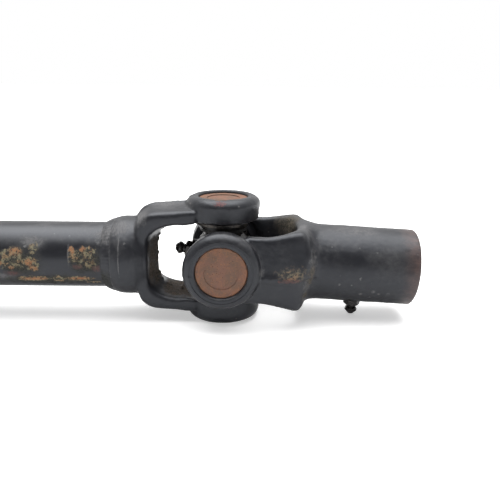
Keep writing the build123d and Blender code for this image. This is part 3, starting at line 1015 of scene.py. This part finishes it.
@dataclass
class Shaft:
    """The tube, the two weld yokes, the two end yokes and the beads.

    Attributes:
        tube: The tube's paint.
        bead: The beads' paint.
        weld_yoke: The slip end's weld yoke's paint.
        slip_yoke: The slip yoke's paint.
        plain: The paint of the forgings at the fixed end.
    """

    tube: WornPaint
    bead: WornPaint
    weld_yoke: WornPaint
    slip_yoke: WornPaint
    plain: WornPaint

    def forgings(self) -> list[Forging]:
        """Lists the four forgings, the photographed end's first."""
        upward, sideways = Vector(Axis.UPWARD.value), Vector(Axis.SIDEWAYS.value)
        slip, fixed = joint_centre(End.SLIP), joint_centre(End.FIXED)
        to_tube = Vector((-1, 0, 0))
        weld = {
            "machined_from": 56.8, "bore_radius": 0.0, "flash": 1.1, "spread": 2.8,
            "melted": (20.0, 54.0), "melting": 28,
        }
        hung = {"heel": 2.6, "melting": 60}
        return [
            Forging("slip_weld_yoke", "tube_shaft", self.weld_yoke, slip, to_tube, upward, **weld),
            Forging(
                "slip_yoke", "slip_end", self.slip_yoke, slip, yoke_direction(End.SLIP), sideways,
                parting=3.0, melted=(19.0, 63.0), **hung,
            ),
            Forging("fixed_weld_yoke", "tube_shaft", self.plain, fixed, -to_tube, upward, **weld),
            Forging(
                "fixed_yoke", "fixed_end", self.plain, fixed, yoke_direction(End.FIXED), sideways,
                machined_from=64.0, bore_radius=13.5, parting=-3.0, melted=(19.0, 60.0), **hung,
            ),
        ]

    def build(self) -> None:
        """Makes every painted piece."""
        dress("shaft_tube", self.tube.material())
        bead = self.bead.material()
        for end, seed in ((End.SLIP, 11), (End.FIXED, 23)):
            WeldBead(end, seed).build(bead)
        for forging in self.forgings():
            forging.build()


@dataclass
class Bearings:
    """Everything in and on the two crosses.

    Attributes:
        cups: The finishes of the bearing cups, one for each end.
        others: The other pieces' finishes, by the endings of their names.
    """

    cups: tuple[RustedCup, ...]
    others: dict[str, OiledSteel | MouldedRubber]

    def build(self) -> None:
        """Gives every bearing piece of the frame its finish."""
        for cup in self.cups:
            material = cup.material()
            for node in frame["nodes"]:
                if node.startswith(cup.end.value) and node.endswith("_cup"):
                    dress(node, material)
        for ending, finish in self.others.items():
            material = finish.material()
            nodes = [node for node in frame["nodes"] if node.endswith(ending)]
            for node in nodes:
                dress(node, material)
            log.info("%s on %d pieces", finish.name, len(nodes))


@dataclass(frozen=True)
class Studio:
    """The floor, the light and the camera.

    A ramp is given as where it starts and ends, and its values there.

    Attributes:
        picture: The picture's side in pixels.
        focal: The focal length in pixels of that picture.
        distance: The distance to the joint's centre in metres.
        pitch: How far the camera looks down, in degrees.
        turn: How far it is turned about the vertical, in degrees.
        roll: How far the picture is rolled clockwise, in degrees.
        aim: The pixel at which the joint's centre lies.
        box_light: How bright the soft box overhead is, where the backdrop is 1.
        box_lean: How far it leans behind the shaft, in degrees.
        box_middle: How far its full light reaches from its middle, in degrees.
        box_edge: Where its light ends, in degrees from its middle.
        box_across: How its light falls off from left to right.
        matt_room: How bright the surroundings are from front to back, where they light matt surfaces.
        glossy_room: How bright they show in glossy surfaces, from front to back.
        floor_reach: How far the floor reaches each way, in metres.
        floor_white: How much light the floor gives back.
        floor_glow: How far the floor's own white softens the shadow on it.
        shadow_glow: How much more it does so where the camera sees the floor itself.
    """

    picture: float = 500.0
    focal: float = 565.35
    distance: float = 0.3054
    pitch: float = 16.205
    turn: float = -0.713
    roll: float = 0.721
    aim: Pair = (223.49, 255.23)
    box_light: float = 4.9
    box_lean: float = 5.0
    box_middle: float = 14.0
    box_edge: float = 44.0
    box_across: Ramp = (-0.42, -0.02, 1.55, 0.96)
    matt_room: Ramp = (-0.6, 0.9, 0.28, 0.85)
    glossy_room: Ramp = (-0.75, 0.1, 0.28, 1.0)
    floor_reach: float = 40.0
    floor_white: float = 0.84
    floor_glow: float = 0.10
    shadow_glow: float = 0.34

    def camera(self) -> None:
        """Sets up the camera where the photograph was taken from."""
        pitch, roll = math.radians(self.pitch), math.radians(self.roll)
        right = Vector((1, 0, 0))
        ahead = Vector((0, math.cos(pitch), -math.sin(pitch)))
        upright = Vector((0, math.sin(pitch), math.cos(pitch)))
        across, down = ((pixel - self.picture / 2) / self.focal * self.distance for pixel in self.aim)
        place = -(right * across - upright * down + ahead * self.distance)
        picture_right = math.cos(roll) * right + math.sin(roll) * upright
        picture_up = -math.sin(roll) * right + math.cos(roll) * upright
        turned = Matrix.Rotation(math.radians(self.turn), 3, "Z")
        axes = Matrix((turned @ picture_right, turned @ picture_up, turned @ -ahead)).transposed()
        data = bpy.data.cameras.new("camera")
        data.sensor_width = 36.0
        data.lens = self.focal / self.picture * data.sensor_width
        data.clip_start = 0.01
        camera = placed("camera", data)
        camera.matrix_world = Matrix.Translation(joint_centre(End.SLIP) + turned @ place) @ axes.to_4x4()
        bpy.context.scene.camera = camera

    def floor(self) -> None:
        """Lays the pale floor under the ears."""
        height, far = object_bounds()[0][2], self.floor_reach
        mesh = bpy.data.meshes.new("floor")
        corners = [(-far, -far, height), (far, -far, height), (far, far, height), (-far, far, height)]
        mesh.from_pydata(corners, [], [(0, 1, 2, 3)])
        floor = placed("floor", mesh)
        material = bpy.data.materials.new("floor_white")
        material.use_nodes = True
        tree = Wiring(material.node_tree)
        tree.nodes.clear()
        rays = tree.add("ShaderNodeLightPath", {})
        seen = tree.highest(rays["Is Camera Ray"], rays["Is Glossy Ray"], rays["Is Transmission Ray"])
        glows = {0: rays["Is Camera Ray"], 1: self.shadow_glow, 2: tree.times(seen, self.floor_glow)}
        strength = tree.add("ShaderNodeMath", glows, operation="MULTIPLY_ADD")[0]
        matt = tree.add("ShaderNodeBsdfDiffuse", {"Color": (self.floor_white,) * 3})[0]
        glow = tree.add("ShaderNodeEmission", {"Strength": strength})[0]
        both = tree.add("ShaderNodeAddShader", {0: matt, 1: glow})[0]
        tree.add("ShaderNodeOutputMaterial", {"Surface": both})
        mesh.materials.append(material)
        floor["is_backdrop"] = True

    def sky(self) -> None:
        """Lights the shaft with a wide soft box overhead, a bright backdrop and a dim room before it."""
        world = bpy.data.worlds.new("studio")
        bpy.context.scene.world = world
        world.use_nodes = True
        tree = Wiring(world.node_tree)
        tree.nodes.clear()
        towards = tree.add("ShaderNodeTexCoord", {})["Generated"]
        parts = tree.add("ShaderNodeSeparateXYZ", {0: towards})
        lean = math.radians(self.box_lean)
        from_box = {0: towards, 1: (0.0, math.sin(lean), math.cos(lean))}
        from_box = tree.add("ShaderNodeVectorMath", from_box, operation="DOT_PRODUCT")["Value"]
        edge, middle = math.cos(math.radians(self.box_edge)), math.cos(math.radians(self.box_middle))
        box = tree.ramp(from_box, edge, middle, 0.0, self.box_light)
        overhead = tree.times(box, tree.ramp(parts["X"], *self.box_across))
        rays = tree.add("ShaderNodeLightPath", {})
        shiny = tree.highest(rays["Is Glossy Ray"], rays["Is Transmission Ray"])
        around = tree.level(shiny, tree.ramp(parts["Y"], *self.matt_room), tree.ramp(parts["Y"], *self.glossy_room))
        strength = tree.level(rays["Is Camera Ray"], tree.plus(overhead, around), 1.0)
        background = tree.add("ShaderNodeBackground", {"Color": (1.0, 1.0, 1.0), "Strength": strength})[0]
        tree.add("ShaderNodeOutputWorld", {"Surface": background})

    def build(self) -> None:
        """Makes the stage."""
        self.camera()
        self.floor()
        self.sky()
        bpy.context.scene.view_settings.view_transform = "Standard"


# The tube's paint, with the places where rust has come through it
TUBE_PAINT = WornPaint(
    "tube_black",
    crust=(
        Spot((-107.4, -17.0, 2.0), (6.2, 5.0, 6.4), 1.5, 2.4),
        Spot((-98.0, -17.0, -0.8), (5.0, 5.0, 4.2), 1.4, 2.0),
        Spot((-96.0, -15.0, 7.2), (3.0, 4.0, 3.0), 1.6, 1.8),
        Spot((-67.6, -17.0, 6.0), (4.4, 5.0, 3.6), 1.9, 2.0, 0.5),
        Spot((-75.6, -17.0, 4.2), (3.2, 5.0, 4.0), 1.9, 2.0, 0.5),
        Spot((-68.6, -17.0, 0.6), (6.4, 5.0, 5.0), 2.2, 2.4, 0.9),
        Spot((-84.4, -15.0, -9.2), (3.6, 3.0, 2.8), 1.0, 1.8),
        Spot((-97.4, -15.0, -9.2), (9.6, 3.0, 2.1), 0.9, 1.8),
        Spot((-74.0, -15.0, -9.0), (8.2, 3.0, 2.0), 0.9, 1.8),
        Spot((-66.8, -13.4, -11.6), (4.4, 3.0, 1.0), 0.9, 1.8),
    ),
    orange=(
        Spot((-113.6, -17.4, -0.2), (2.6, 3.0, 1.9), 1.2, 1.6, 0.6),
        Spot((-105.0, -16.4, 6.0), (4.4, 3.0, 2.8), 1.6, 1.8, 0.6),
        Spot((-98.6, -17.4, 0.2), (2.6, 3.0, 2.6), 1.6, 1.8, 0.5),
        Spot((-96.4, -17.4, -2.8), (2.8, 3.0, 2.2), 1.4, 1.8, 0.6),
        Spot((-107.6, -17.4, -2.6), (1.8, 3.0, 1.6), 1.4, 1.4, 0.6),
        Spot((-76.6, -16.0, 6.9), (2.3, 3.0, 2.4), 1.4, 1.6, 0.5),
        Spot((-71.1, -16.0, 7.1), (2.2, 3.0, 1.7), 1.6, 1.6, 0.6),
        Spot((-97.2, -15.0, -9.3), (8.8, 2.6, 1.4), 0.9, 1.8, 0.5),
        Spot((-74.4, -15.3, -8.8), (6.8, 2.6, 1.3), 0.9, 1.8, 0.5),
    ),
    red=(
        Spot((-64.3, -17.3, -2.6), (3.0, 3.0, 2.6), 1.2, 1.8, 0.5),
        Spot((-73.7, -17.3, -1.8), (3.0, 3.0, 1.8), 1.2, 1.8, 0.5),
        Spot((-108.0, -16.5, -6.0), (6.0, 3.0, 2.2), 1.0, 2.4, 0.8),
    ),
    dusty=(
        Spot((-97.4, -14.0, 10.0), (8.0, 6.0, 4.4), 1.2, 4.0, 0.9),
        Spot((-62.0, -12.0, 14.0), (4.2, 8.0, 8.0), 1.4, 2.0, 0.7),
        Spot((-78.3, -17.0, 4.0), (0.6, 6.0, 8.2), 1.3, 1.6, 0.8),
        Spot((-112.0, -15.0, -8.0), (9.0, 4.0, 3.0), 1.0, 3.0, 0.9),
    ),
    soil=DAMP_SOIL,
    soiled=(
        Spot((-69.6, -17.0, 1.0), (11.0, 6.0, 9.0), 0.8, 3.0, 0.6),
        Spot((-103.0, -17.0, 0.0), (14.0, 6.0, 10.0), 0.8, 4.0, 0.6),
        Spot((-88.0, -14.5, -10.0), (34.0, 6.0, 4.6), 0.8, 4.0, 0.6),
    ),
    # Painted shade: the dust is kept off the tube's dark front band
    dust_cleared_shade=(Spot((-86.0, -16.5, 6.0), (5.6, 9.0, 8.0), 0.2, 3.0, 0.5),),
    scratches=(Spot((-100.5, -10.7, 13.8), (7.6, 0.9, 0.13), 0.2, 2.0),),
    chips=(
        Spot((-78.4, -11.9, 12.8), (0.7, 0.7, 0.7), 0.8, 0.8),
        Spot((-100.3, -15.4, 8.2), (0.9, 0.9, 0.7), 0.8, 0.8),
    ),
    gloss=0.32,
    # A thin dust haze over the tube's lit upper band, partly a painted highlight
    haze_and_highlight=(Spot((-98.0, -12.0, 10.0), (26.0, 9.0, 5.0), 1.2, 5.0, 0.9),),
    skin=0.03,
    forged=False,
    stray=0.55,
)

# The weld beads' paint
BEAD_PAINT = WornPaint(
    "bead_black",
    forged=False,
    dusty=(Spot((-59.5, -11.0, 14.0), (5.0, 9.0, 8.0), 1.3, 1.4, 0.6),),
    soil=DAMP_SOIL,
    soiled=(Spot((-60.0, -15.0, -9.0), (5.0, 9.0, 8.0), 1.0, 2.0, 0.8),),
    streaks=DRAWN_ROUND,
)

# The paint of the slip end's weld yoke
WELD_YOKE_PAINT = WornPaint(
    "weld_yoke_black",
    rust=RustColours(red=(0.200, 0.066, 0.060)),
    red=(Spot((-1.0, -16.8, 31.2), (4.4, 2.6, 1.8), 1.2, 1.2, 0.5),),
    orange=(Spot((-0.5, -14.6, 32.6), (4.0, 1.3, 0.8), 1.5, 1.0),),
    dusty=(
        Spot((-53.0, -11.0, 17.0), (6.5, 8.0, 7.0), 1.4, 1.8, 0.7),
        Spot((-52.3, -18.0, 5.0), (0.45, 12.0, 13.0), 1.0, 1.2, 0.5),
        Spot((-42.0, -13.0, 24.0), (5.5, 8.0, 6.5), 1.3, 1.8, 0.8),
        Spot((-19.0, -12.0, 30.0), (5.0, 6.0, 2.8), 1.3, 1.8, 1.1),
        Spot((-30.0, -4.0, 29.0), (12.0, 9.0, 4.0), 1.0, 4.0, 0.9),
    ),
    soiled=(
        Spot((-38.0, 0.0, -2.0), (7.0, 16.5, 20.0), 0.5, 3.0, 0.35),
        Spot((-26.0, 0.0, -19.5), (15.0, 15.0, 5.0), 0.5, 3.0, 0.35),
    ),
    scratches=(Spot((-57.4, -18.4, -7.9), (1.3, 1.6, 1.0), 1.2, 1.0, 0.8),),
    streaks=DRAWN_ROUND,
    ears=(End.SLIP, Axis.UPWARD),
    chips=(
        Spot((8.6, -17.6, 30.4), (1.0, 1.0, 0.9), 0.9, 0.9),
        Spot((-49.2, -18.0, 10.8), (0.7, 0.7, 0.7), 0.7, 0.8),
        Spot((-18.0, -10.0, 30.0), (2.2, 1.4, 1.0), 1.2, 1.0),
    ),
)

# The slip yoke's paint
SLIP_YOKE_PAINT = WornPaint(
    "slip_yoke_black",
    rust=RustColours(crust=(0.140, 0.118, 0.084), ochre=(0.200, 0.135, 0.085), orange=(0.230, 0.108, 0.060)),
    soil=(0.130, 0.110, 0.080),
    crust=(
        Spot((35.4, -27.0, -2.0), (10.5, 6.0, 4.8), 1.3, 1.8, 0.8),
        Spot((45.2, -22.0, -1.0), (2.4, 5.0, 6.0), 1.7, 1.5, 0.8),
    ),
    orange=(Spot((34.6, -27.5, -4.0), (6.0, 3.0, 1.2), 1.9, 1.2, 0.9),),
    red=(Spot((33.0, -27.5, -5.0), (8.0, 3.0, 1.2), 1.2, 1.4),),
    dusty=(
        Spot((45.4, -22.0, 3.0), (2.8, 8.0, 9.0), 1.5, 1.6, 0.8),
        Spot((42.6, -22.0, -10.0), (2.6, 8.0, 6.0), 1.5, 1.6, 0.8),
        Spot((18.0, -28.0, -0.5), (3.6, 4.0, 4.2), 1.4, 1.6, 0.7),
        Spot((15.0, -30.0, 17.0), (3.0, 4.0, 5.0), 1.4, 1.6, 0.8),
        Spot((41.0, -10.0, 20.0), (6.0, 9.0, 6.0), 1.4, 1.8, 0.8),
        Spot((70.0, -6.0, 18.0), (26.0, 9.0, 6.0), 1.0, 6.0, 0.9),
    ),
    haze_and_highlight=(Spot((90.0, -16.0, 2.0), (20.0, 14.0, 13.0), 1.0, 4.0, 0.9),),
    soiled=(
        Spot((42.0, -21.0, -14.6), (2.8, 6.0, 3.0), 1.5, 1.5, 0.9),
        Spot((44.4, -22.0, -4.0), (2.6, 5.0, 7.0), 1.8, 1.5, 0.9),
        Spot((34.0, 11.0, 14.0), (14.0, 15.0, 10.0), 0.9, 3.0, 0.8),
    ),
    bare=(Spot((101.6, 0.0, -5.6), (10.4, 80.0, 80.0), 0.35, 4.0, 0.75),),
    ears=(End.SLIP, Axis.SIDEWAYS),
    chips=(
        Spot((60.2, -19.5, -9.5), (1.0, 1.0, 1.0), 1.4, 0.8, 0.8),
        Spot((70.7, -20.3, -6.1), (1.0, 1.0, 1.1), 1.4, 0.8, 0.9),
        Spot((71.8, -17.0, -15.5), (1.6, 1.7, 1.5), 1.6, 0.9, 0.9),
        Spot((78.2, -18.2, -13.8), (1.7, 1.8, 1.5), 1.6, 0.9, 0.9),
        Spot((81.3, -17.4, -15.2), (1.3, 1.6, 1.2), 1.6, 0.9, 0.9),
        Spot((86.0, -17.6, -15.1), (1.5, 1.8, 1.2), 1.6, 0.9, 0.9),
        Spot((79.0, -16.8, 6.9), (1.2, 1.2, 0.7), 1.6, 0.9, 0.9),
    ),
)

# The finishes of the pieces in and on the crosses, by the endings of their names
BEARING_FINISHES = {
    "_nipple": OiledSteel("nipple_greased", (0.008, 0.007, 0.007), (0.03, 0.026, 0.024), 0.14, 0.34, 0.3),
    "_cross": OiledSteel("cross_greased", (0.012, 0.011, 0.011), (0.05, 0.044, 0.04), 0.3, 0.6, 0.5),
    "_seal": MouldedRubber("seal_rubber", (0.012, 0.012, 0.012), (0.045, 0.043, 0.04)),
    "_clip": OiledSteel("clip_oiled", (0.03, 0.029, 0.028), (0.10, 0.09, 0.082), 0.3, 0.5, 0.8),
    "_needles": OiledSteel("needle_oiled", (0.35, 0.34, 0.33), (0.52, 0.51, 0.5), 0.2, 0.3, 1.0, 4.0),
    "_thrust_washer": MouldedRubber("washer_nylon", (0.50, 0.46, 0.34), (0.62, 0.58, 0.46)),
    "_plug": OiledSteel("plug_rusted", (0.06, 0.04, 0.03), (0.16, 0.11, 0.08), 0.5, 0.8, 0.3),
}


def main() -> None:
    """Builds and dresses the whole shaft."""
    logging.basicConfig(level=logging.INFO, format="%(name)s: %(message)s")
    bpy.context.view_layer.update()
    plain = WornPaint("forging_black", stray=0.35)
    Shaft(TUBE_PAINT, BEAD_PAINT, WELD_YOKE_PAINT, SLIP_YOKE_PAINT, plain).build()
    Bearings(tuple(RustedCup(f"{end.value}_cup_rust", end) for end in End), BEARING_FINISHES).build()
    Studio().build()


if __name__ == "__main__":
    main()
